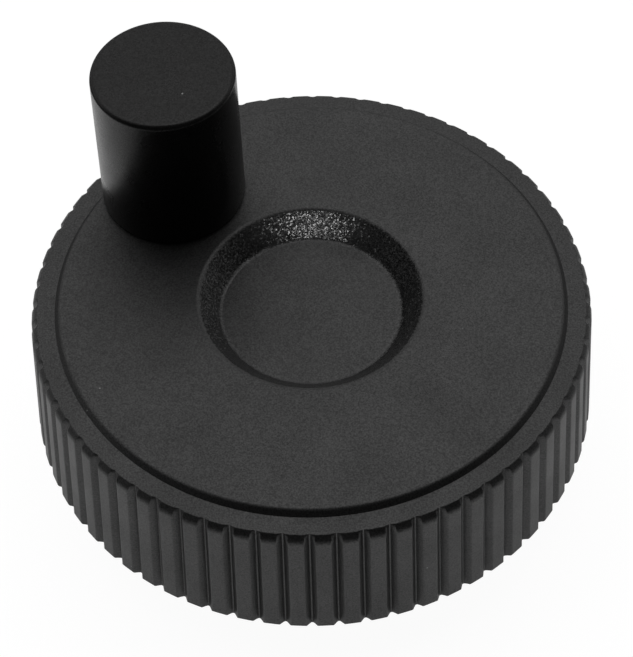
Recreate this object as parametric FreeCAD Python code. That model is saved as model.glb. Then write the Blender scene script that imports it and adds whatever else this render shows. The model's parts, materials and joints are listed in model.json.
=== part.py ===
import FreeCAD, Part
import math
import os

# A crank knob for a machine shaft: a moulded wheel with a fluted rim, a metal hub bush with two set screws,
# and a short handle that revolves on a spindle near the rim.
# Sizes are in millimetres. The Z axis is the shaft axis, and z = 0 is the end face of the hub.

# Fluted rim, which tapers towards the face
rim_foot_radius = 40.0
rim_taper = 1.15
rim_height = 21.05
rim_wall = 3.2
rim_foot_chamfer = 0.4
edge_bevel_width = 0.85
edge_bevel_drop = 1.25
flute_count = 68
flute_depth = 0.6
flute_width = 1.5
flute_floor_width = 0.24
flute_shoulder_drop = 0.15
flute_shoulder_width = 0.25
flute_phase = -86.3

# Top: a flat land along the rim, a face that rises from it over a soft edge, and a dish in the middle
land_width = 2.25
face_rise = 0.65
face_edge_run = 0.55
face_edge_cut = 0.5
dish_mouth_radius = 15.55
dish_wall_run = 2.9
dish_depth = 3.3
dish_lip_chamfer = 0.3
dish_corner_chamfer = 0.4
dish_floor_thickness = 3.2

# Underside: web, hub boss and ribs
web_thickness = 4.2
hub_boss_radius = 17.0
rib_count = 6
rib_thickness = 2.4
rib_foot_gap = 5.0
inner_corner_chamfer = 1.0

# Hub bush and its set screws, which sit halfway up the neck
bush_radius = 12.0
bush_neck_length = 9.0
bush_waist_radius = 11.0
bush_waist_length = 3.0
bush_waist_height = 5.0
bush_flat_depth = 0.6
bush_chamfer = 0.8
shaft_radius = 6.0
shaft_mouth_chamfer = 0.6
set_screw_radius = 2.5
set_screw_length = 5.0
set_screw_point_gap = 0.4
set_screw_point_length = 1.0
set_screw_point_radius = 1.3
set_screw_key_width = 2.5
set_screw_key_depth = 2.2
set_screw_spread = 90.0

# Handle place: its grip stands just inside the outer edge of the land
handle_edge_inset = 0.15
handle_angle = 133.6
handle_boss_radius = 8.5
handle_boss_length = 14.0
handle_boss_hole_clearance = 0.3

# Insert and spindle that carry the handle
insert_radius = 5.0
insert_length = 11.0
insert_waist_depth = 0.6
insert_waist_length = 2.5
thread_radius = 3.0
thread_run_out = 1.0
spindle_collar_radius = 6.5
spindle_collar_height = 1.8
spindle_flat_width = 11.0
journal_radius = 4.0
ring_seat_radius = 3.2
ring_seat_width = 1.2
ring_seat_setback = 2.9
spindle_chamfer = 0.5

# Lock washer and nut under the handle boss
lock_washer_radius = 5.4
lock_washer_thickness = 1.4
lock_washer_bore_clearance = 0.15
lock_washer_split = 1.2
nut_across_flats = 10.0
nut_thickness = 3.2
nut_chamfer_angle = 30.0

# Thrust washer, liner and snap ring inside the handle
thrust_washer_radius = 6.8
thrust_washer_thickness = 0.8
thrust_washer_bore_clearance = 0.1
liner_wall = 1.8
liner_running_clearance = 0.04
liner_end_clearance = 0.05
liner_ring_clearance = 0.15
snap_ring_wall = 1.75
snap_ring_thickness = 1.0
snap_ring_seat_clearance = 0.05
snap_ring_gap_angle = 50.0

# Handle grip
grip_base_radius = 10.2
grip_top_radius = 9.95
grip_height = 24.4
grip_face_clearance = 0.3
grip_edge_chamfer = 0.5
grip_base_chamfer = 0.3
grip_pocket_clearance = 0.6
grip_crown_thickness = 3.2
grip_crown_clearance = 0.7

# How far a cutter runs past a face, or a fused piece into its neighbour
overlap = 1.0

# Levels along the axis
rim_foot_z = bush_neck_length
land_z = rim_foot_z + rim_height
face_z = land_z + face_rise
web_z = face_z - web_thickness
dish_floor_z = face_z - dish_depth
bush_top_z = dish_floor_z - dish_floor_thickness
shoulder_z = land_z - edge_bevel_drop
boss_end_z = face_z - handle_boss_length
lock_washer_foot_z = boss_end_z - lock_washer_thickness
nut_foot_z = lock_washer_foot_z - nut_thickness
spindle_foot_z = nut_foot_z - thread_run_out
collar_top_z = face_z + spindle_collar_height
washer_top_z = collar_top_z + thrust_washer_thickness
liner_foot_z = washer_top_z + liner_end_clearance
grip_foot_z = face_z + grip_face_clearance
grip_top_z = face_z + grip_height
crown_z = grip_top_z - grip_crown_thickness
journal_top_z = crown_z - grip_crown_clearance
ring_seat_z = journal_top_z - ring_seat_setback
liner_top_z = ring_seat_z - liner_ring_clearance

# Radii that follow from the sizes above
rim_shoulder_radius = rim_foot_radius - rim_taper
rim_slope = rim_taper / (shoulder_z - rim_foot_z)
land_outer_radius = rim_shoulder_radius - edge_bevel_width
land_inner_radius = land_outer_radius - land_width
face_edge_radius = land_inner_radius - face_edge_run
dish_floor_radius = dish_mouth_radius - dish_wall_run
handle_pitch_radius = land_outer_radius - handle_edge_inset - grip_base_radius
boss_hole_radius = thread_radius + handle_boss_hole_clearance
liner_bore_radius = journal_radius + liner_running_clearance
liner_radius = liner_bore_radius + liner_wall
pocket_radius = max(spindle_collar_radius, thrust_washer_radius) + grip_pocket_clearance

# The set screws face away from the handle, one on each side of its plane
set_screw_angles = [handle_angle + 180 + side * set_screw_spread / 2 for side in (-1, 1)]

UP = FreeCAD.Vector(0, 0, 1)
CENTRE = FreeCAD.Vector(0, 0, 0)
HANDLE_AXIS = FreeCAD.Vector(
    handle_pitch_radius * math.cos(math.radians(handle_angle)),
    handle_pitch_radius * math.sin(math.radians(handle_angle)),
    0,
)


def lobe_radius(z):
    """Radius over the lobes of the rim at height z."""
    return rim_foot_radius - rim_slope * (z - rim_foot_z)


def floor_radius(z):
    """Radius at the floor of the flutes at height z."""
    return lobe_radius(z) - flute_depth


def inner_radius(z):
    """Radius of the inside of the rim at height z."""
    return floor_radius(z) - rim_wall


def outline_points(corners):
    """Points of a closed outline of (radius, height) corners, where a third number cuts the corner back."""
    places = [FreeCAD.Vector(corner[0], 0, corner[1]) for corner in corners]
    points = []
    for index, corner in enumerate(corners):
        place = places[index]
        if len(corner) == 2:
            points.append(place)
            continue
        for neighbour in (places[index - 1], places[(index + 1) % len(places)]):
            points.append(place + (neighbour - place).normalize() * corner[2])
    return points


def turned(corners):
    """Solid of revolution about Z from an outline."""
    points = outline_points(corners)
    wire = Part.makePolygon(points + points[:1])
    return Part.Face(wire).revolve(CENTRE, UP, 360)


def cylinder(radius, low, high):
    return Part.makeCylinder(radius, high - low, FreeCAD.Vector(0, 0, low))


def ring(bore_radius, outer_radius, low, high):
    return cylinder(outer_radius, low, high).cut(cylinder(bore_radius, low - overlap, high + overlap))


def block(x_low, x_high, width, low, high):
    """Box along X, centred on Y."""
    corner = FreeCAD.Vector(x_low, -width / 2, low)
    return Part.makeBox(x_high - x_low, width, high - low, corner)


def hexagon(across_flats, low, high):
    """Hexagonal prism about Z."""
    reach = across_flats / 2 / math.cos(math.pi / 6)
    turns = [math.radians(60 * k) for k in range(7)]
    corners = [FreeCAD.Vector(reach * math.cos(t), reach * math.sin(t), low) for t in turns]
    return Part.Face(Part.makePolygon(corners)).extrude(UP * (high - low))


def turned_to(shape, angle):
    """Copy of a shape turned about Z by an angle in degrees."""
    copy = shape.copy()
    copy.rotate(CENTRE, UP, angle)
    return copy


def at_handle(shape):
    """Copy of a shape moved from the wheel's axis to the handle's axis."""
    copy = shape.copy()
    copy.translate(HANDLE_AXIS)
    return copy


def wheel_blank():
    """Wheel before its ribs, seats and flutes: face, rim, web and hub boss in one section."""
    return turned([
        (0, dish_floor_z),
        (dish_floor_radius, dish_floor_z, dish_corner_chamfer),
        (dish_mouth_radius, face_z, dish_lip_chamfer),
        (face_edge_radius, face_z, face_edge_cut),
        (land_inner_radius, land_z),
        (land_outer_radius, land_z),
        (rim_shoulder_radius, shoulder_z),
        (rim_foot_radius, rim_foot_z, rim_foot_chamfer),
        (inner_radius(rim_foot_z), rim_foot_z),
        (inner_radius(web_z), web_z, inner_corner_chamfer),
        (hub_boss_radius, web_z, inner_corner_chamfer),
        (hub_boss_radius, rim_foot_z),
        (0, rim_foot_z),
    ])


def wheel_ribs():
    """Stiffening ribs from the hub boss to the rim, with the handle boss midway between two of them."""
    rib = block(hub_boss_radius - overlap, inner_radius(web_z) + overlap, rib_thickness,
                rim_foot_z + rib_foot_gap, web_z + overlap)
    step = 360 / rib_count
    return [turned_to(rib, handle_angle + step * (k + 0.5)) for k in range(rib_count)]


def handle_boss():
    """Boss under the face that holds the handle's insert, tied to the hub by a short rib."""
    boss = at_handle(cylinder(handle_boss_radius, boss_end_z, web_z + overlap))
    tie = block(hub_boss_radius - overlap, handle_pitch_radius, rib_thickness, boss_end_z, web_z + overlap)
    return [boss, turned_to(tie, handle_angle)]


def flute_cutter():
    """One flute, centred on the X axis: a flat-floored notch with softened lips that follows the rim's taper."""
    low = rim_foot_z - overlap
    high = land_z + overlap
    floor = floor_radius(low)
    lip_half = flute_width / 2
    lip_slope = flute_shoulder_width / flute_shoulder_drop
    half_section = [
        (floor, flute_floor_width / 2),
        (floor + flute_depth - flute_shoulder_drop, lip_half - flute_shoulder_width),
        (floor + flute_depth + overlap, lip_half + lip_slope * overlap),
    ]
    corners = [FreeCAD.Vector(x, y, low) for x, y in half_section]
    corners += [FreeCAD.Vector(x, -y, low) for x, y in reversed(half_section)]
    section = Part.Face(Part.makePolygon(corners + corners[:1]))
    return section.extrude(FreeCAD.Vector(floor_radius(high) - floor, 0, high - low))


def wheel_body():
    body = wheel_blank().fuse(wheel_ribs() + handle_boss()).removeSplitter()
    boss_hole = cylinder(boss_hole_radius, boss_end_z - overlap, face_z)
    body = body.cut([bush_envelope(), at_handle(insert_envelope()), at_handle(boss_hole)])
    step = 360 / flute_count
    cutter = flute_cutter()
    flutes = [turned_to(cutter, flute_phase + step * k) for k in range(flute_count)]
    return body.cut(Part.makeCompound(flutes))


def bush_envelope():
    """Outside of the hub bush: a turned bar with a waist and two flats that lock it in the moulding."""
    waist_low = rim_foot_z + bush_waist_height
    waist_high = waist_low + bush_waist_length
    bar = turned([
        (0, 0),
        (bush_radius, 0, bush_chamfer),
        (bush_radius, waist_low),
        (bush_waist_radius, waist_low),
        (bush_waist_radius, waist_high),
        (bush_radius, waist_high),
        (bush_radius, bush_top_z),
        (0, bush_top_z),
    ])
    flat_x = bush_radius - bush_flat_depth
    flat = block(flat_x, bush_radius + overlap, 2 * bush_radius, waist_high, bush_top_z + overlap)
    return bar.cut([flat, turned_to(flat, 180)])


def hub_bush():
    bore = cylinder(shaft_radius, -overlap, bush_top_z + overlap)
    mouth = Part.makeCone(shaft_radius + shaft_mouth_chamfer, shaft_radius, shaft_mouth_chamfer)
    hole = Part.makeCylinder(set_screw_radius, bush_radius + overlap, UP * (bush_neck_length / 2),
                             FreeCAD.Vector(1, 0, 0))
    holes = [turned_to(hole, angle) for angle in set_screw_angles]
    return bush_envelope().cut([bore, mouth] + holes)


def set_screw():
    """Socket set screw with a flat point, lying along X with its point towards the shaft."""
    low = shaft_radius + set_screw_point_gap
    high = low + set_screw_length
    screw = turned([
        (0, low),
        (set_screw_point_radius, low),
        (set_screw_radius, low + set_screw_point_length),
        (set_screw_radius, high),
        (0, high),
    ])
    screw = screw.cut(hexagon(set_screw_key_width, high - set_screw_key_depth, high + overlap))
    screw.rotate(CENTRE, FreeCAD.Vector(0, 1, 0), 90)
    screw.translate(UP * (bush_neck_length / 2))
    return screw


def hub_set_screws():
    screw = set_screw()
    return Part.makeCompound([turned_to(screw, angle) for angle in set_screw_angles])


def insert_envelope():
    """Outside of the threaded insert, with a waist that keys it into the boss."""
    foot = face_z - insert_length
    waist_low = foot + (insert_length - insert_waist_length) / 2
    waist_high = waist_low + insert_waist_length
    waist_radius = insert_radius - insert_waist_depth
    return turned([
        (0, foot),
        (insert_radius, foot),
        (insert_radius, waist_low),
        (waist_radius, waist_low),
        (waist_radius, waist_high),
        (insert_radius, waist_high),
        (insert_radius, face_z),
        (0, face_z),
    ])


def handle_insert():
    bore = cylinder(thread_radius, face_z - insert_length - overlap, face_z + overlap)
    return at_handle(insert_envelope().cut(bore))


def handle_spindle():
    """Shouldered pivot: thread, collar with two spanner flats, journal and a seat for the snap ring."""
    spindle = turned([
        (0, spindle_foot_z),
        (thread_radius, spindle_foot_z, spindle_chamfer),
        (thread_radius, face_z),
        (spindle_collar_radius, face_z),
        (spindle_collar_radius, collar_top_z),
        (journal_radius, collar_top_z),
        (journal_radius, ring_seat_z),
        (ring_seat_radius, ring_seat_z),
        (ring_seat_radius, ring_seat_z + ring_seat_width),
        (journal_radius, ring_seat_z + ring_seat_width),
        (journal_radius, journal_top_z, spindle_chamfer),
        (0, journal_top_z),
    ])
    flat = block(spindle_flat_width / 2, spindle_collar_radius + overlap, 2 * spindle_collar_radius,
                 face_z, collar_top_z)
    return at_handle(spindle.cut([flat, turned_to(flat, 180)]))


def handle_lock_washer():
    bore_radius = thread_radius + lock_washer_bore_clearance
    washer = ring(bore_radius, lock_washer_radius, lock_washer_foot_z, boss_end_z)
    split = block(0, lock_washer_radius + overlap, lock_washer_split,
                  lock_washer_foot_z - overlap, boss_end_z + overlap)
    return at_handle(washer.cut(split))


def handle_lock_nut():
    """Thin hexagon nut with both faces chamfered."""
    corner_radius = nut_across_flats / 2 / math.cos(math.pi / 6)
    face_radius = nut_across_flats / 2
    chamfer = (corner_radius - face_radius) * math.tan(math.radians(nut_chamfer_angle))
    barrel = turned([
        (thread_radius, nut_foot_z),
        (face_radius, nut_foot_z),
        (corner_radius, nut_foot_z + chamfer),
        (corner_radius, lock_washer_foot_z - chamfer),
        (face_radius, lock_washer_foot_z),
        (thread_radius, lock_washer_foot_z),
    ])
    prism = hexagon(nut_across_flats, nut_foot_z - overlap, lock_washer_foot_z + overlap)
    return at_handle(barrel.common(prism))


def handle_thrust_washer():
    bore_radius = journal_radius + thrust_washer_bore_clearance
    return at_handle(ring(bore_radius, thrust_washer_radius, collar_top_z, washer_top_z))


def handle_liner():
    return at_handle(ring(liner_bore_radius, liner_radius, liner_foot_z, liner_top_z))


def handle_snap_ring():
    """Open ring that sits in the spindle's seat and keeps the liner on the journal."""
    low = ring_seat_z + (ring_seat_width - snap_ring_thickness) / 2
    high = low + snap_ring_thickness
    bore_radius = ring_seat_radius + snap_ring_seat_clearance
    full = ring(bore_radius, bore_radius + snap_ring_wall, low, high)
    reach = 2 * (bore_radius + snap_ring_wall)
    half = math.radians(snap_ring_gap_angle / 2)
    corners = [
        FreeCAD.Vector(0, 0, low - overlap),
        FreeCAD.Vector(reach * math.cos(half), -reach * math.sin(half), low - overlap),
        FreeCAD.Vector(reach * math.cos(half), reach * math.sin(half), low - overlap),
    ]
    gap = Part.Face(Part.makePolygon(corners + corners[:1])).extrude(UP * (high - low + 2 * overlap))
    return at_handle(full.cut(gap))


def handle_grip():
    """Closed-end grip with a slight draft, a pocket over the collar and a blind bore for the liner."""
    return at_handle(turned([
        (pocket_radius, grip_foot_z),
        (grip_base_radius, grip_foot_z, grip_base_chamfer),
        (grip_top_radius, grip_top_z, grip_edge_chamfer),
        (0, grip_top_z),
        (0, crown_z),
        (liner_radius, crown_z),
        (liner_radius, liner_foot_z),
        (pocket_radius, liner_foot_z),
    ]))


PIECES = {
    "wheel_body": wheel_body,
    "hub_bush": hub_bush,
    "hub_set_screws": hub_set_screws,
    "handle_insert": handle_insert,
    "handle_spindle": handle_spindle,
    "handle_lock_washer": handle_lock_washer,
    "handle_lock_nut": handle_lock_nut,
    "handle_thrust_washer": handle_thrust_washer,
    "handle_liner": handle_liner,
    "handle_snap_ring": handle_snap_ring,
    "handle_grip": handle_grip,
}

os.makedirs("parts", exist_ok=True)
for node, make in PIECES.items():
    make().exportStep("parts/" + node + ".step")
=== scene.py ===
import json
import math

import bmesh
import bpy
import numpy as np
from mathutils import Matrix, Quaternion, Vector


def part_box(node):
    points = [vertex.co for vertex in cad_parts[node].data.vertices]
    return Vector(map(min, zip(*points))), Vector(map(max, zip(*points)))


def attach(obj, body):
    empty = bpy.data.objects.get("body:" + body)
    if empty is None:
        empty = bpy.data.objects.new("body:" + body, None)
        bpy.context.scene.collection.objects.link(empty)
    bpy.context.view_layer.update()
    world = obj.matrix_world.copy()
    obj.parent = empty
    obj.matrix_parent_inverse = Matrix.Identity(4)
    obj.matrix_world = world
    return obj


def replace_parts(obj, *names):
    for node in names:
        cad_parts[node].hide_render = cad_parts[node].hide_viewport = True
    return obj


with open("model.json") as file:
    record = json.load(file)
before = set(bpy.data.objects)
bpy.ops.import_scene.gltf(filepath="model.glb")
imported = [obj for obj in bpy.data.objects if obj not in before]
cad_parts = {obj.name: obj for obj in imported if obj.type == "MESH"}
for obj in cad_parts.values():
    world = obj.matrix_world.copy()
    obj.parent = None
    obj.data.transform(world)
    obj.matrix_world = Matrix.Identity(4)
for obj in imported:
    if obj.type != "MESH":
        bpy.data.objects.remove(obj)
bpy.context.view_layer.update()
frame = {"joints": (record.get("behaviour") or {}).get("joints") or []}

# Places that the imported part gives, in metres
MM = 0.001
wheel_low, wheel_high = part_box("wheel_body")
bush_low, bush_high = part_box("hub_bush")
insert_low, insert_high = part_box("handle_insert")
spindle_low, spindle_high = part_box("handle_spindle")
thrust_low, thrust_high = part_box("handle_thrust_washer")
liner_low, liner_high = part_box("handle_liner")
snap_low, snap_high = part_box("handle_snap_ring")
grip_low, grip_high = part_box("handle_grip")
boss_end_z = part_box("handle_lock_washer")[1].z
rim_foot_z = wheel_low.z
face_z = wheel_high.z
handle_axis = Vector(frame["joints"][0]["pos_m"])
handle_angle = math.atan2(handle_axis.y, handle_axis.x)

# Wheel sizes, as in the part
rim_foot_radius = 40.0 * MM
rim_taper = 1.15 * MM
flute_count = 68
dish_mouth_radius = 15.55 * MM
dish_wall_run = 2.9 * MM
dish_depth = 3.3 * MM
web_thickness = 4.2 * MM
hub_boss_radius = 17.0 * MM
rib_count = 6
rib_thickness = 2.4 * MM
rib_foot_gap = 5.0 * MM
handle_boss_radius = 8.5 * MM
boss_hole_radius = 3.3 * MM

# Visible skin of the rim and land, which the photograph sets a little apart from the part
rim_inset = 3.8 * MM
edge_bevel_width = 0.77 * MM
edge_bevel_drop = 0.85 * MM
flute_depth = 0.8 * MM
flute_extra_depth = 0.1 * MM
flute_width = 1.95 * MM
flute_floor_width = 0.2 * MM
flute_lip_width = 0.25 * MM
flute_phase = math.radians(-86.5)
land_width = 2.56 * MM
land_fall = 0.2 * MM
face_rise = 0.85 * MM
face_edge_run = 0.69 * MM

# Bush, set screw, spindle and grip sizes, as in the part
bush_radius = 12.0 * MM
bush_waist_radius = 11.0 * MM
bush_waist_height = 5.0 * MM
bush_waist_length = 3.0 * MM
shaft_radius = 6.0 * MM
set_screw_radius = 2.5 * MM
set_screw_length = 5.0 * MM
set_screw_point_gap = 0.4 * MM
set_screw_point_length = 1.0 * MM
set_screw_point_radius = 1.3 * MM
set_screw_key_width = 2.5 * MM
set_screw_key_depth = 2.2 * MM
set_screw_spread = math.radians(90)
spindle_thread_radius = 3.0 * MM
spindle_flat_width = 11.0 * MM
journal_radius = 4.0 * MM
ring_seat_radius = 3.2 * MM
ring_seat_width = 1.2 * MM
grip_draft = 0.25 * MM
grip_crown_thickness = 3.2 * MM
grip_pocket_clearance = 0.6 * MM

# Threads, which are plain cylinders in the part
set_screw_pitch = 0.8 * MM
spindle_thread_pitch = 1.0 * MM
thread_depth_share = 0.6
thread_flank_gain = 1.5
thread_flank_offset = 0.25
thread_rows_per_pitch = 8

# Edge rounding of the mouldings and the turned pieces
dish_corner_round = 0.8 * MM
dish_lip_round = 1.0 * MM
face_edge_round = 0.7 * MM
face_foot_round = 0.05 * MM
land_outer_round = 0.25 * MM
shoulder_round = 1.8 * MM
foot_round = 0.45 * MM
web_corner_round = 1.5 * MM
boss_edge_round = 0.5 * MM
rib_edge_round = 0.4 * MM
grip_edge_round = 0.7 * MM
grip_base_round = 0.35 * MM
pocket_round = 0.25 * MM
bush_edge_round = 0.8 * MM
turned_edge_round = 0.2 * MM
socket_mouth_cut = 0.1 * MM
socket_floor_drop = 0.2 * MM
spindle_end_round = 0.5 * MM

# Fineness and joining of the meshes
arc_step = math.radians(12)
sharp_angle = math.radians(30)
lobe_hold = 0.4 * MM
lip_points = 4
rib_edge_points = 5
face_points_per_flute = 4
fine_turn = 192
middle_turn = 96
overlap = 1.0 * MM
weld_distance = 0.001 * MM

# Levels and radii that follow
land_z = face_z - face_rise
land_edge_z = land_z - land_fall
shoulder_z = land_edge_z - edge_bevel_drop
web_z = face_z - web_thickness
dish_floor_z = face_z - dish_depth
rim_slope = rim_taper / (shoulder_z - rim_foot_z)
rim_shoulder_radius = rim_foot_radius - rim_taper
land_outer_radius = rim_shoulder_radius - edge_bevel_width
face_foot_radius = land_outer_radius - land_width
face_edge_radius = face_foot_radius - face_edge_run
dish_floor_radius = dish_mouth_radius - dish_wall_run
insert_radius = (insert_high.x - insert_low.x) / 2
waist_low = rim_foot_z + bush_waist_height
waist_high = waist_low + bush_waist_length

# Grain of the materials: the noise, the specks, the bumps and the cells of the dish wall
noise_range = (0.3, 0.7)
fine_detail = 2.0
broad_detail = 3.0
speck_edges = (0.05, 0.09)
speck_choice_blend = 0.02
wheel_speck_spacing = 1.6 * MM
wheel_speck_share = 0.12
wheel_fine_size = 0.22 * MM
wheel_broad_size = 7.0 * MM
wheel_bump = 0.03 * MM
wheel_bump_strength = 0.6
wall_cell_size = 0.17 * MM
wall_cell_lean = 0.5
wall_foot_blend = (-0.6 * MM, 0.2 * MM)
wall_top_blend = 0.3 * MM
wall_mouth_blend = 0.4 * MM
grip_speck_spacing = 1.8 * MM
grip_speck_share = 0.08
grip_fine_size = 0.2 * MM
grip_broad_size = 5.0 * MM
grip_bump = 0.02 * MM
grip_bump_strength = 0.5
turning_mark_size = 0.08 * MM
turned_broad_size = 3.0 * MM
turned_bump_strength = 0.5
coat_fine_size = 0.3 * MM
coat_broad_size = 2.0 * MM
coat_bump_strength = 0.4
metal_bump = 0.01 * MM
liner_fine_size = 0.25 * MM
liner_bump = 0.01 * MM
liner_bump_strength = 0.4

# Colours, roughness and gloss of the materials
wheel_colour = (0.008, 0.008, 0.0081)
wheel_speck_colour = (0.2, 0.2, 0.2)
wheel_roughness = (0.42, 0.5)
wheel_specular = (0.38, 0.84)
wall_gloss = 0.15
grip_colour = (0.007, 0.0068, 0.0068)
grip_speck_colour = (0.3, 0.3, 0.3)
grip_roughness = (0.25, 0.32)
grip_specular = (0.16, 0.34)
hub_steel_colour = (0.36, 0.36, 0.35)
hub_steel_roughness = 0.34
screw_steel_colour = (0.035, 0.035, 0.038)
screw_steel_roughness = 0.42
plated_steel_colour = (0.55, 0.55, 0.53)
plated_steel_roughness = 0.32
spring_steel_colour = (0.16, 0.16, 0.17)
spring_steel_roughness = 0.36
brass_colour = (0.62, 0.45, 0.2)
brass_roughness = 0.32
turned_roughness_spread = 0.06
coat_roughness_spread = 0.08
liner_colour = (0.72, 0.72, 0.69)
liner_roughness = (0.34, 0.42)

# Camera: place and aim from a fit to the rim, land, dish and handle in the photograph
image_width, image_height = 633, 657
camera_place = Vector((0.0, -197.795, 289.617)) * MM
camera_target = Vector((0.633, -5.183, 30.05)) * MM
camera_roll = math.radians(-1.7141)
camera_focal_pixels = 2355.6
camera_sensor = 36.0
camera_clip_start = 0.01
camera_clip_end = 50.0

# Studio: a broad soft light from behind and a little to the left, and a dim front
back_light_heading = Vector((-0.12, 1.0, 0.0)).normalized()
back_light_level = 1.36
back_light_side_start = math.cos(math.radians(62))
back_light_side_end = math.cos(math.radians(120))
back_light_top_start = math.sin(math.radians(76))
back_light_top_end = math.sin(math.radians(83))
back_light_foot_start = math.sin(math.radians(42))
back_light_foot_end = math.sin(math.radians(55))
back_light_foot_share = 0.42
front_level = 0.04

# Floor: a white sheet on a dark bench, with the levels at which reflections and the camera see it
floor_half_size = 4.0
sheet_radius = 0.1
sheet_edge_radius = 0.16
sheet_colour = 0.9
bench_colour = 0.08
mirrored_glow = 0.43
seen_glow = 0.95
seen_colour = 0.13

# Lamp that makes the far wall of the dish sparkle
glint_lamp_place = Vector((-0.04, -0.5, 0.31))
glint_lamp_power = 7.0
glint_lamp_radius = 0.002
glint_cone = math.radians(2.2)
glint_beam_blend = 0.6
glint_beam_flatness = 0.25


def lobe_radius(z):
    """Radius over the lobes of the rim at height z."""
    return rim_foot_radius - rim_slope * (z - rim_foot_z)


def inner_radius(z):
    """Radius of the inside of the rim at height z."""
    return lobe_radius(z) - rim_inset


def rounded(corners):
    """Points of an outline of (radius, height) corners, where a third number rounds the corner."""
    points = []
    for index, corner in enumerate(corners):
        place = Vector(corner[:2])
        if len(corner) == 2:
            points.append(tuple(place))
            continue
        before = (Vector(corners[index - 1][:2]) - place).normalized()
        after = (Vector(corners[(index + 1) % len(corners)][:2]) - place).normalized()
        half_angle = before.angle(after) / 2
        reach = corner[2] / math.tan(half_angle)
        centre = place + (before + after).normalized() * (corner[2] / math.sin(half_angle))
        start = place + before * reach - centre
        end = place + after * reach - centre
        turn = start.angle_signed(end)
        steps = max(2, math.ceil(abs(turn) / arc_step))
        for step in range(steps + 1):
            points.append(tuple(centre + Matrix.Rotation(-turn * step / steps, 2) @ start))
    return points


def mesh_object(name, vertices, faces):
    """Smooth-shaded object of the scene, with every face turned outward."""
    mesh = bpy.data.meshes.new(name)
    mesh.from_pydata(vertices, [], faces)
    cage = bmesh.new()
    cage.from_mesh(mesh)
    bmesh.ops.recalc_face_normals(cage, faces=cage.faces)
    cage.to_mesh(mesh)
    cage.free()
    mesh.shade_smooth()
    made = bpy.data.objects.new(name, mesh)
    bpy.context.scene.collection.objects.link(made)
    return made


def rows_object(name, rows):
    """Closed object from rows of points round an axis. A row of one point is a pole.
    Neighbouring rows have equal counts, or one count is a multiple of the other."""
    vertices = [tuple(point) for row in rows for point in row]
    starts = [0]
    for row in rows:
        starts.append(starts[-1] + len(row))

    def stretch(index, part, parts):
        """Points of one row that lie along one of its parts."""
        count = len(rows[index])
        if count == 1:
            return [starts[index]]
        step = count // parts
        return [starts[index] + (part * step + k) % count for k in range(step + 1)]

    is_ring = len(rows[0]) > 1
    faces = []
    for index in range(len(rows) if is_ring else len(rows) - 1):
        after = (index + 1) % len(rows)
        counts = (len(rows[index]), len(rows[after]))
        parts = max(counts) if min(counts) == 1 else min(counts)
        for part in range(parts):
            faces.append(stretch(index, part, parts) + stretch(after, part, parts)[::-1])
    return mesh_object(name, vertices, faces)


def circle_row(radii, height, angles):
    """Row of points at the given radii, which may be one number or one for each angle."""
    if np.ndim(radii) == 0 and radii == 0:
        return np.array([[0.0, 0.0, height]])
    x = radii * np.cos(angles)
    y = radii * np.sin(angles)
    return np.stack([x, y, np.full_like(angles, height)], axis=1)


def even_angles(count):
    """Angles of one turn in equal steps."""
    return np.arange(count) * (2 * math.pi / count)


def lathe(name, outline, count):
    """Solid of revolution about Z. The outline goes from axis to axis, or right round a ring."""
    angles = even_angles(count)
    return rows_object(name, [circle_row(radius, height, angles) for radius, height in outline])


def at_handle(made):
    """Moves a piece from the wheel's axis to the handle's axis."""
    made.data.transform(Matrix.Translation((handle_axis.x, handle_axis.y, 0)))
    return made


def across_neck(made, angle):
    """Lays a piece that stands on Z along a radius of the bush, at half the height of its neck."""
    lie_down = Matrix.Rotation(math.pi / 2, 4, "Y")
    lift = Matrix.Translation((0, 0, rim_foot_z / 2))
    made.data.transform(Matrix.Rotation(angle, 4, "Z") @ lift @ lie_down)
    return made


def weld(mesh):
    """Joins the doubled points that a cut through an edge can leave."""
    cage = bmesh.new()
    cage.from_mesh(mesh)
    bmesh.ops.remove_doubles(cage, verts=cage.verts, dist=weld_distance)
    bmesh.ops.dissolve_degenerate(cage, dist=weld_distance, edges=cage.edges)
    cage.to_mesh(mesh)
    cage.free()


def combined(base, operation, others):
    """Joins others to base, or cuts them from it, and removes them."""
    for other in others:
        step = base.modifiers.new(operation.lower(), "BOOLEAN")
        step.operation = operation
        step.solver = "MANIFOLD"
        step.object = other
    bpy.context.view_layer.update()
    shape = base.evaluated_get(bpy.context.evaluated_depsgraph_get())
    mesh = bpy.data.meshes.new_from_object(shape)
    mesh.materials.clear()
    weld(mesh)
    base.modifiers.clear()
    base.data = mesh
    for other in others:
        bpy.data.objects.remove(other)
    return base


def flute_angles():
    """Angles of one turn, so that each flute's floor, flanks, lips and lobe have their own points."""
    lip = flute_width / 2
    rounding = list(np.linspace(lip - flute_lip_width, lip, lip_points))
    side = [flute_floor_width / 2] + rounding + [lip + lobe_hold]
    offsets = [-y for y in reversed(side)] + side
    turns = even_angles(flute_count)[:, None]
    return (flute_phase + turns + np.array(offsets)[None, :] / rim_foot_radius).ravel()


def flute_section(angles):
    """Share of the flute's depth at each angle: flat floor, straight flanks, lips that curve over."""
    pitch = 2 * math.pi / flute_count
    across = np.abs((angles - flute_phase + pitch / 2) % pitch - pitch / 2) * rim_foot_radius
    lip = flute_width / 2
    knee = lip - flute_lip_width
    floor = flute_floor_width / 2
    knee_share = flute_lip_width / (flute_lip_width + 2 * (knee - floor))
    flank = np.interp(across, [floor, knee], [1, knee_share])
    curve = knee_share * (np.clip(lip - across, 0, flute_lip_width) / flute_lip_width) ** 2
    return np.where(across < knee, flank, curve)


def flute_depth_at(z):
    """Depth of the flutes, which grows a little from the foot to the land."""
    return flute_depth + flute_extra_depth * (z - rim_foot_z) / (land_z - rim_foot_z)


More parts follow.
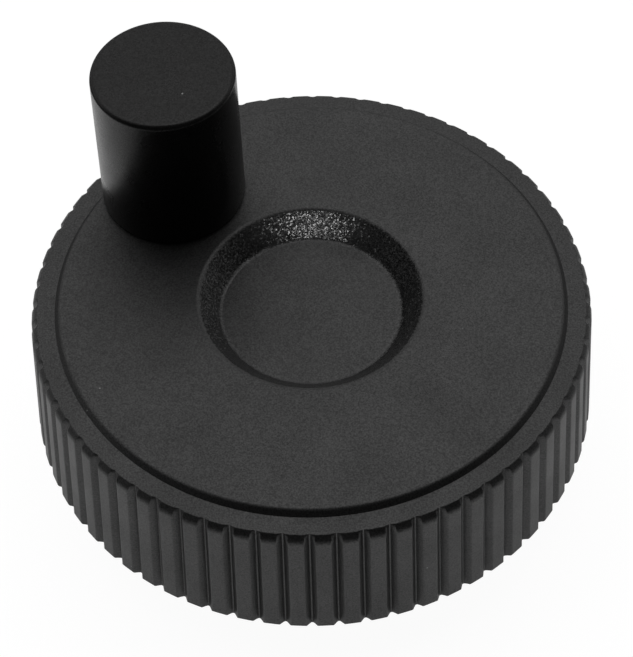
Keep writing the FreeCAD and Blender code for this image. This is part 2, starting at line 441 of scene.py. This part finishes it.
def wheel_outline():
    """Half section of the wheel, from the middle of the dish round the rim to the seat of the bush."""
    return rounded([
        (0, dish_floor_z),
        (dish_floor_radius, dish_floor_z, dish_corner_round),
        (dish_mouth_radius, face_z, dish_lip_round),
        (face_edge_radius, face_z, face_edge_round),
        (face_foot_radius, land_z, face_foot_round),
        (land_outer_radius, land_edge_z, land_outer_round),
        (rim_shoulder_radius, shoulder_z, shoulder_round),
        (rim_foot_radius, rim_foot_z, foot_round),
        (inner_radius(rim_foot_z), rim_foot_z, foot_round),
        (inner_radius(web_z), web_z, web_corner_round),
        (hub_boss_radius, web_z, web_corner_round),
        (hub_boss_radius, rim_foot_z, boss_edge_round),
        (bush_radius, rim_foot_z),
        (bush_radius, waist_low),
        (bush_waist_radius, waist_low),
        (bush_waist_radius, waist_high),
        (bush_radius, waist_high),
        (bush_radius, bush_high.z),
        (0, bush_high.z),
    ])


def wheel_disc():
    """Wheel with its fluted rim, before the ribs and the handle boss are joined to it."""
    rim_angles = flute_angles()
    section = flute_section(rim_angles)
    face_angles = flute_phase + even_angles(flute_count * face_points_per_flute)
    rows = []
    for radius, height in wheel_outline():
        if radius > inner_radius(height) + rim_inset / 2:
            fluted = lobe_radius(height) - flute_depth_at(height) * section
            rows.append(circle_row(np.minimum(radius, fluted), height, rim_angles))
        else:
            rows.append(circle_row(radius, height, face_angles))
    return rows_object("wheel", rows)


def rib_block(length_low, length_high, low, angle):
    """Rib that runs outward at an angle from one radius to another, with its two free edges rounded."""
    half = rib_thickness / 2
    side = []
    for turn in np.linspace(0, math.pi / 2, rib_edge_points):
        y = half - rib_edge_round * (1 - math.cos(turn))
        z = low + rib_edge_round * (1 - math.sin(turn))
        side.append((y, z))
    section = [(-half, web_z + overlap), (half, web_z + overlap)]
    section += side + [(-y, z) for y, z in reversed(side)]
    count = len(section)
    vertices = [(x, y, z) for x in (length_low, length_high) for y, z in section]
    faces = [tuple(range(count)), tuple(range(count, 2 * count))]
    for k in range(count):
        n = (k + 1) % count
        faces.append((k, k + count, n + count, n))
    rib = mesh_object("rib", vertices, faces)
    rib.data.transform(Matrix.Rotation(angle, 4, "Z"))
    return rib


def handle_boss():
    """Round boss under the face that holds the handle's insert."""
    return at_handle(lathe("boss", rounded([
        (0, boss_end_z),
        (handle_boss_radius, boss_end_z, boss_edge_round),
        (handle_boss_radius, web_z + overlap),
        (0, web_z + overlap),
    ]), middle_turn))


def insert_seat():
    """Stepped hole for the handle's insert and, below it, the spindle."""
    return at_handle(lathe("seat", [
        (0, boss_end_z - overlap),
        (boss_hole_radius, boss_end_z - overlap),
        (boss_hole_radius, insert_low.z),
        (insert_radius, insert_low.z),
        (insert_radius, face_z + overlap),
        (0, face_z + overlap),
    ], middle_turn))


def wheel_piece():
    """The moulded wheel: disc, ribs and handle boss in one, with the insert's seat cut out."""
    rib_inner = hub_boss_radius - overlap
    rib_outer = inner_radius(web_z) + overlap
    added = []
    for k in range(rib_count):
        rib_angle = handle_angle + 2 * math.pi * (k + 0.5) / rib_count
        added.append(rib_block(rib_inner, rib_outer, rim_foot_z + rib_foot_gap, rib_angle))
    added.append(rib_block(rib_inner, handle_axis.xy.length, boss_end_z, handle_angle))
    added.append(handle_boss())
    disc = combined(wheel_disc(), "UNION", added)
    return combined(disc, "DIFFERENCE", [insert_seat()])


def grip_piece():
    """The handle's grip: a drafted cylinder with a rounded crown, hollow for the liner and collar."""
    base_radius = (grip_high.x - grip_low.x) / 2
    liner_radius = (liner_high.x - liner_low.x) / 2
    pocket_radius = (thrust_high.x - thrust_low.x) / 2 + grip_pocket_clearance
    crown_z = grip_high.z - grip_crown_thickness
    return at_handle(lathe("grip", rounded([
        (0, grip_high.z),
        (base_radius - grip_draft, grip_high.z, grip_edge_round),
        (base_radius, grip_low.z, grip_base_round),
        (pocket_radius, grip_low.z, pocket_round),
        (pocket_radius, liner_low.z),
        (liner_radius, liner_low.z),
        (liner_radius, crown_z),
        (0, crown_z),
    ]), fine_turn))


def thread_rows(radius, pitch, low, high, angles):
    """Rows of a screw thread that fades in and out at its ends."""
    depth = thread_depth_share * pitch
    rows = []
    for height in np.linspace(low, high, math.ceil((high - low) / pitch * thread_rows_per_pitch)):
        turn = (height / pitch - angles / (2 * math.pi)) % 1
        wave = np.clip(thread_flank_gain * np.abs(2 * turn - 1) - thread_flank_offset, 0, 1)
        fade = min(1, (height - low) / pitch, (high - height) / pitch)
        rows.append(circle_row(radius - depth * wave * fade, height, angles))
    return rows


def hexagon_radii(across_flats, angles):
    """Distance from the middle to the edge of a hexagon at each angle."""
    sixth = math.pi / 3
    return across_flats / 2 / np.cos((angles + sixth / 2) % sixth - sixth / 2)


def set_screw_piece(name, angle):
    """Socket set screw with a flat point, in the neck of the bush."""
    angles = even_angles(middle_turn)
    low = shaft_radius + set_screw_point_gap
    high = low + set_screw_length
    thread_low = low + set_screw_point_length
    thread_high = high - turned_edge_round
    socket = hexagon_radii(set_screw_key_width, angles)
    socket_floor = high - set_screw_key_depth
    rows = [circle_row(0, low, angles), circle_row(set_screw_point_radius, low, angles)]
    rows += thread_rows(set_screw_radius, set_screw_pitch, thread_low, thread_high, angles)
    rows += [
        circle_row(set_screw_radius - turned_edge_round, high, angles),
        circle_row(socket + socket_mouth_cut, high, angles),
        circle_row(socket, high - socket_mouth_cut, angles),
        circle_row(socket, socket_floor, angles),
        circle_row(0, socket_floor - socket_floor_drop, angles),
    ]
    return across_neck(rows_object(name, rows), angle)


def bush_piece(screw_angles):
    """Turned hub bush with its bore, waist and the two cross holes of the set screws."""
    bush = lathe("bush", rounded([
        (shaft_radius, bush_low.z, turned_edge_round),
        (bush_radius, bush_low.z, bush_edge_round),
        (bush_radius, waist_low),
        (bush_waist_radius, waist_low),
        (bush_waist_radius, waist_high),
        (bush_radius, waist_high),
        (bush_radius, bush_high.z, turned_edge_round),
        (shaft_radius, bush_high.z, turned_edge_round),
    ]), fine_turn)
    holes = []
    for angle in screw_angles:
        hole = lathe("hole", [
            (0, 0),
            (set_screw_radius, 0),
            (set_screw_radius, bush_radius + overlap),
            (0, bush_radius + overlap),
        ], middle_turn)
        holes.append(across_neck(hole, angle))
    return combined(bush, "DIFFERENCE", holes)


def spindle_piece():
    """Shouldered pivot: thread, collar with two spanner flats, journal and the seat of the snap ring."""
    angles = even_angles(middle_turn)
    collar_radius = (spindle_high.y - spindle_low.y) / 2
    flat_distance = spindle_flat_width / 2
    collar = flat_distance / np.maximum(np.abs(np.cos(angles)), flat_distance / collar_radius)
    collar_top = thrust_low.z
    thread_low = spindle_low.z + spindle_end_round
    seat_low = (snap_low.z + snap_high.z - ring_seat_width) / 2
    seat_high = seat_low + ring_seat_width
    rows = [
        circle_row(0, spindle_low.z, angles),
        circle_row(spindle_thread_radius - spindle_end_round, spindle_low.z, angles),
    ]
    rows += thread_rows(spindle_thread_radius, spindle_thread_pitch, thread_low, face_z, angles)
    rows += [
        circle_row(collar - turned_edge_round, face_z, angles),
        circle_row(collar, face_z + turned_edge_round, angles),
        circle_row(collar, collar_top - turned_edge_round, angles),
        circle_row(collar - turned_edge_round, collar_top, angles),
    ]
    rows += [circle_row(radius, height, angles) for radius, height in rounded([
        (journal_radius, collar_top),
        (journal_radius, seat_low),
        (ring_seat_radius, seat_low),
        (ring_seat_radius, seat_high),
        (journal_radius, seat_high),
        (journal_radius, spindle_high.z, spindle_end_round),
        (0, spindle_high.z),
    ])]
    return at_handle(rows_object("spindle", rows))


def add(tree, kind, inputs, **settings):
    """New node of a material or world, with its inputs set to values or linked to outputs."""
    node = tree.nodes.new(kind)
    for name, value in settings.items():
        setattr(node, name, value)
    for name, value in inputs.items():
        if isinstance(value, bpy.types.NodeSocket):
            tree.links.new(value, node.inputs[name])
        else:
            node.inputs[name].default_value = value
    return node.outputs


def new_material(name):
    """Material with its tree of nodes and its shader."""
    material = bpy.data.materials.new(name)
    material.use_nodes = True
    tree = material.node_tree
    return material, tree, tree.nodes["Principled BSDF"]


def object_place(tree):
    """Place of the shaded point in the object."""
    return add(tree, "ShaderNodeTexCoord", {})["Object"]


def vector_sum(tree, operation, first, second):
    """First vector with the second added or taken away."""
    return add(tree, "ShaderNodeVectorMath", {0: first, 1: second}, operation=operation)["Vector"]


def unit_vector(tree, vector):
    """A vector brought to length 1."""
    return add(tree, "ShaderNodeVectorMath", {0: vector}, operation="NORMALIZE")["Vector"]


def length_of(tree, vector):
    """Length of a vector."""
    return add(tree, "ShaderNodeVectorMath", {0: vector}, operation="LENGTH")["Value"]


def split_height(tree, vector):
    """A vector with its height set to zero, and the height."""
    parts = add(tree, "ShaderNodeSeparateXYZ", {"Vector": vector})
    flat = add(tree, "ShaderNodeCombineXYZ", {"X": parts["X"], "Y": parts["Y"]})["Vector"]
    return flat, parts["Z"]


def product(tree, first, second):
    """Two numbers multiplied."""
    return add(tree, "ShaderNodeMath", {0: first, 1: second}, operation="MULTIPLY")["Value"]


def scaled(tree, value, from_low, from_high, to_low, to_high):
    """A value carried from one range to another, and held at the ends."""
    return add(tree, "ShaderNodeMapRange", {
        "Value": value, "From Min": from_low, "From Max": from_high, "To Min": to_low, "To Max": to_high,
    })["Result"]


def eased(tree, value, start, end):
    """0 before the start, 1 after the end, and a smooth rise between them."""
    return add(tree, "ShaderNodeMapRange", {
        "Value": value, "From Min": start, "From Max": end, "To Min": 0.0, "To Max": 1.0,
    }, interpolation_type="SMOOTHSTEP")["Result"]


def grained(tree, place, size, detail):
    """Noise of a given size in metres."""
    return add(tree, "ShaderNodeTexNoise", {"Vector": place, "Scale": 1 / size, "Detail": detail})["Fac"]


def spread(tree, noise, shader, name, low, high):
    """Lets noise vary an input of the shader between two values."""
    tree.links.new(scaled(tree, noise, *noise_range, low, high), shader.inputs[name])


def bumped(tree, height, distance, strength):
    """Normal of a surface that a height raises by up to a distance."""
    inputs = {"Height": height, "Distance": distance, "Strength": strength}
    return add(tree, "ShaderNodeBump", inputs)["Normal"]


def tilted_cells(tree, place, amount, normal):
    """Normal that leans a different way in each small cell, like the facets of a coarse cast grain."""
    lean = add(tree, "ShaderNodeTexVoronoi", {"Vector": place, "Scale": 1 / wall_cell_size})["Color"]
    middle_lean = (0.5, 0.5, 0.5)
    centred = vector_sum(tree, "SUBTRACT", lean, middle_lean)
    strength = product(tree, amount, wall_cell_lean)
    offset = add(tree, "ShaderNodeVectorMath", {0: centred, "Scale": strength}, operation="SCALE")["Vector"]
    return unit_vector(tree, vector_sum(tree, "ADD", normal, offset))


def dust_specks(tree, place, spacing, share):
    """Mask of sparse pale specks: a dot at the middle of some cells."""
    cells = add(tree, "ShaderNodeTexVoronoi", {"Vector": place, "Scale": 1 / spacing})
    dot = scaled(tree, cells["Distance"], *speck_edges, 1.0, 0.0)
    threshold = 1 - share
    chosen = scaled(tree, cells["Color"], threshold, threshold + speck_choice_blend, 0.0, 1.0)
    return product(tree, dot, chosen)


def speckled_colour(tree, shader, mask, colour, speck_colour):
    """Gives the shader one colour, and another where the mask is 1."""
    inputs = {"Factor": mask, "A": (*colour, 1), "B": (*speck_colour, 1)}
    mixed = add(tree, "ShaderNodeMix", inputs, data_type="RGBA")["Result"]
    tree.links.new(mixed, shader.inputs["Base Color"])


def dish_wall_mask(tree, place):
    """1 on the sloping wall of the dish, 0 elsewhere."""
    flat, height = split_height(tree, place)
    radius = length_of(tree, flat)
    foot_start, foot_end = wall_foot_blend
    inside = scaled(tree, radius, dish_floor_radius + foot_start, dish_floor_radius + foot_end, 0.0, 1.0)
    below = scaled(tree, height, face_z - wall_top_blend, face_z, 1.0, 0.0)
    in_mouth = scaled(tree, radius, dish_mouth_radius, dish_mouth_radius + wall_mouth_blend, 1.0, 0.0)
    return product(tree, product(tree, inside, below), in_mouth)


def wheel_moulding():
    """Black glass-filled plastic with a fine spark-eroded grain, which is coarse on the dish wall."""
    material, tree, shader = new_material("wheel_moulding")
    place = object_place(tree)
    wall = dish_wall_mask(tree, place)
    fine = grained(tree, place, wheel_fine_size, fine_detail)
    broad = grained(tree, place, wheel_broad_size, broad_detail)
    specks = dust_specks(tree, place, wheel_speck_spacing, wheel_speck_share)
    speckled_colour(tree, shader, specks, wheel_colour, wheel_speck_colour)
    skin_roughness = scaled(tree, broad, *noise_range, *wheel_roughness)
    smoother = product(tree, wall, wall_gloss)
    roughness = add(tree, "ShaderNodeMath", {0: skin_roughness, 1: smoother}, operation="SUBTRACT")["Value"]
    tree.links.new(roughness, shader.inputs["Roughness"])
    spread(tree, fine, shader, "Specular IOR Level", *wheel_specular)
    skin = bumped(tree, fine, wheel_bump, wheel_bump_strength)
    tree.links.new(tilted_cells(tree, place, wall, skin), shader.inputs["Normal"])
    return material


def grip_moulding():
    """Black plastic with a satin turned-tool finish."""
    material, tree, shader = new_material("grip_moulding")
    place = object_place(tree)
    fine = grained(tree, place, grip_fine_size, fine_detail)
    broad = grained(tree, place, grip_broad_size, broad_detail)
    specks = dust_specks(tree, place, grip_speck_spacing, grip_speck_share)
    speckled_colour(tree, shader, specks, grip_colour, grip_speck_colour)
    spread(tree, broad, shader, "Roughness", *grip_roughness)
    spread(tree, fine, shader, "Specular IOR Level", *grip_specular)
    tree.links.new(bumped(tree, fine, grip_bump, grip_bump_strength), shader.inputs["Normal"])
    return material


def new_metal(name, colour):
    """Metal of one colour, with its tree of nodes and its shader."""
    material, tree, shader = new_material(name)
    shader.inputs["Base Color"].default_value = (*colour, 1)
    shader.inputs["Metallic"].default_value = 1.0
    return material, tree, shader


def turned_metal(name, colour, roughness, centre):
    """Metal with the fine rings that a turning tool leaves about its axis."""
    material, tree, shader = new_metal(name, colour)
    place = object_place(tree)
    flat, height = split_height(tree, vector_sum(tree, "SUBTRACT", place, centre))
    rings = add(tree, "ShaderNodeCombineXYZ", {"X": length_of(tree, flat), "Z": height})["Vector"]
    marks = grained(tree, rings, turning_mark_size, fine_detail)
    broad = grained(tree, place, turned_broad_size, broad_detail)
    smoothest = roughness - turned_roughness_spread
    roughest = roughness + turned_roughness_spread
    spread(tree, broad, shader, "Roughness", smoothest, roughest)
    tree.links.new(bumped(tree, marks, metal_bump, turned_bump_strength), shader.inputs["Normal"])
    return material


def coated_metal(name, colour, roughness):
    """Metal with a thin mottled coat."""
    material, tree, shader = new_metal(name, colour)
    place = object_place(tree)
    fine = grained(tree, place, coat_fine_size, fine_detail)
    broad = grained(tree, place, coat_broad_size, broad_detail)
    smoothest = roughness - coat_roughness_spread
    roughest = roughness + coat_roughness_spread
    spread(tree, broad, shader, "Roughness", smoothest, roughest)
    tree.links.new(bumped(tree, fine, metal_bump, coat_bump_strength), shader.inputs["Normal"])
    return material


def liner_acetal():
    """White acetal with a faint turned grain."""
    material, tree, shader = new_material("liner_acetal")
    fine = grained(tree, object_place(tree), liner_fine_size, fine_detail)
    shader.inputs["Base Color"].default_value = (*liner_colour, 1)
    spread(tree, fine, shader, "Roughness", *liner_roughness)
    tree.links.new(bumped(tree, fine, liner_bump, liner_bump_strength), shader.inputs["Normal"])
    return material


def finish_piece(made, body, node, material):
    """Puts a piece in place of a CAD node, with its material and crisp shading."""
    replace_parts(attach(made, body), node)
    made.data.materials.append(material)
    made.data.set_sharp_from_angle(angle=sharp_angle)
    made.modifiers.new("weighted", "WEIGHTED_NORMAL").keep_sharp = True


def paint_node(node, material):
    """Gives a CAD node that is shown as it is its material."""
    shown = bpy.data.objects[node]
    shown.data.materials.clear()
    shown.data.materials.append(material)


def make_camera():
    """Camera at the photograph's point of view."""
    data = bpy.data.cameras.new("camera")
    data.sensor_width = camera_sensor
    data.lens = camera_focal_pixels * camera_sensor / max(image_width, image_height)
    data.clip_start = camera_clip_start
    data.clip_end = camera_clip_end
    camera = bpy.data.objects.new("camera", data)
    camera.location = camera_place
    aim = (camera_target - camera_place).to_track_quat("-Z", "Y")
    camera.rotation_mode = "QUATERNION"
    camera.rotation_quaternion = aim @ Quaternion((0, 0, 1), camera_roll)
    bpy.context.scene.collection.objects.link(camera)
    bpy.context.scene.camera = camera


def make_glint_lamp():
    """Narrow lamp from the front with a flat beam, aimed at the far wall of the dish."""
    data = bpy.data.lights.new("glint", "SPOT")
    data.energy = glint_lamp_power
    data.shadow_soft_size = glint_lamp_radius
    data.spot_size = glint_cone
    data.spot_blend = glint_beam_blend
    lamp = bpy.data.objects.new("glint", data)
    lamp.location = glint_lamp_place
    far_wall = Vector((0, dish_mouth_radius - dish_wall_run / 2, face_z - dish_depth / 2))
    lamp.rotation_euler = (far_wall - glint_lamp_place).to_track_quat("-Z", "Y").to_euler()
    lamp.scale = (1.0, glint_beam_flatness, 1.0)
    bpy.context.scene.collection.objects.link(lamp)


def sheet_shader(tree, path):
    """The sheet and bench as they light the object, a little lifted where the object mirrors them."""
    distance = length_of(tree, object_place(tree))
    level = scaled(tree, distance, sheet_radius, sheet_edge_radius, sheet_colour, bench_colour)
    ray_kinds = {0: path["Is Glossy Ray"], 1: path["Is Transmission Ray"]}
    mirrored = add(tree, "ShaderNodeMath", ray_kinds, operation="MAXIMUM")["Value"]
    glow = product(tree, product(tree, mirrored, mirrored_glow), level)
    paper = add(tree, "ShaderNodeBsdfDiffuse", {"Color": level})["BSDF"]
    lift = add(tree, "ShaderNodeEmission", {"Strength": glow})["Emission"]
    return add(tree, "ShaderNodeAddShader", {0: paper, 1: lift})["Shader"]


def seen_shader(tree):
    """The floor as the camera sees it: lifted to white, with a faint shadow."""
    grey = (seen_colour, seen_colour, seen_colour, 1)
    paper = add(tree, "ShaderNodeBsdfDiffuse", {"Color": grey})["BSDF"]
    lift = add(tree, "ShaderNodeEmission", {"Strength": seen_glow})["Emission"]
    return add(tree, "ShaderNodeAddShader", {0: paper, 1: lift})["Shader"]


def make_floor():
    """White sheet on a dark bench, which the camera sees as white everywhere."""
    near, far = -floor_half_size, floor_half_size
    corners = [(near, near, 0), (far, near, 0), (far, far, 0), (near, far, 0)]
    floor = mesh_object("floor", corners, [(0, 1, 2, 3)])
    material = bpy.data.materials.new("floor")
    material.use_nodes = True
    tree = material.node_tree
    tree.nodes.clear()
    path = add(tree, "ShaderNodeLightPath", {})
    choice = {0: path["Is Camera Ray"], 1: sheet_shader(tree, path), 2: seen_shader(tree)}
    shown = add(tree, "ShaderNodeMixShader", choice)["Shader"]
    add(tree, "ShaderNodeOutputMaterial", {"Surface": shown})
    floor.data.materials.append(material)


def make_world():
    """Broad soft light behind the object, cut off at its top edge, with a dim level everywhere else."""
    world = bpy.data.worlds.new("studio")
    bpy.context.scene.world = world
    world.use_nodes = True
    tree = world.node_tree
    direction = add(tree, "ShaderNodeTexCoord", {})["Generated"]
    flat, height = split_height(tree, direction)
    headings = {0: unit_vector(tree, flat), 1: back_light_heading}
    toward = add(tree, "ShaderNodeVectorMath", headings, operation="DOT_PRODUCT")["Value"]
    around = eased(tree, toward, back_light_side_end, back_light_side_start)
    below_top = eased(tree, height, back_light_top_end, back_light_top_start)
    above_foot = eased(tree, height, back_light_foot_start, back_light_foot_end)
    foot_fade = scaled(tree, above_foot, 0.0, 1.0, back_light_foot_share, 1.0)
    share = product(tree, product(tree, around, below_top), foot_fade)
    level = scaled(tree, share, 0.0, 1.0, front_level, back_light_level)
    background = tree.nodes["Background"]
    background.inputs["Color"].default_value = (1, 1, 1, 1)
    tree.links.new(level, background.inputs["Strength"])


# Metals of the hub and the handle's bearing
hub_steel = turned_metal("hub_steel", hub_steel_colour, hub_steel_roughness, (0, 0, 0))
screw_steel = coated_metal("screw_steel", screw_steel_colour, screw_steel_roughness)
plated_steel = coated_metal("plated_steel", plated_steel_colour, plated_steel_roughness)
spring_steel = coated_metal("spring_steel", spring_steel_colour, spring_steel_roughness)
insert_brass = turned_metal("insert_brass", brass_colour, brass_roughness, handle_axis)

# Pieces that stand in for CAD nodes
set_screw_angles = [handle_angle + math.pi + side * set_screw_spread / 2 for side in (-1, 1)]
finish_piece(wheel_piece(), "wheel", "wheel_body", wheel_moulding())
finish_piece(grip_piece(), "handle", "handle_grip", grip_moulding())
finish_piece(bush_piece(set_screw_angles), "wheel", "hub_bush", hub_steel)
finish_piece(spindle_piece(), "wheel", "handle_spindle", plated_steel)
for number, angle in enumerate(set_screw_angles, start=1):
    screw = set_screw_piece("set_screw_%d" % number, angle)
    finish_piece(screw, "wheel", "hub_set_screws", screw_steel)

# CAD nodes that are shown as they are
paint_node("handle_insert", insert_brass)
paint_node("handle_lock_washer", plated_steel)
paint_node("handle_lock_nut", plated_steel)
paint_node("handle_thrust_washer", spring_steel)
paint_node("handle_snap_ring", spring_steel)
paint_node("handle_liner", liner_acetal())

# Camera, floor and light
make_camera()
make_floor()
make_world()
make_glint_lamp()
bpy.context.scene.view_settings.view_transform = "Standard"
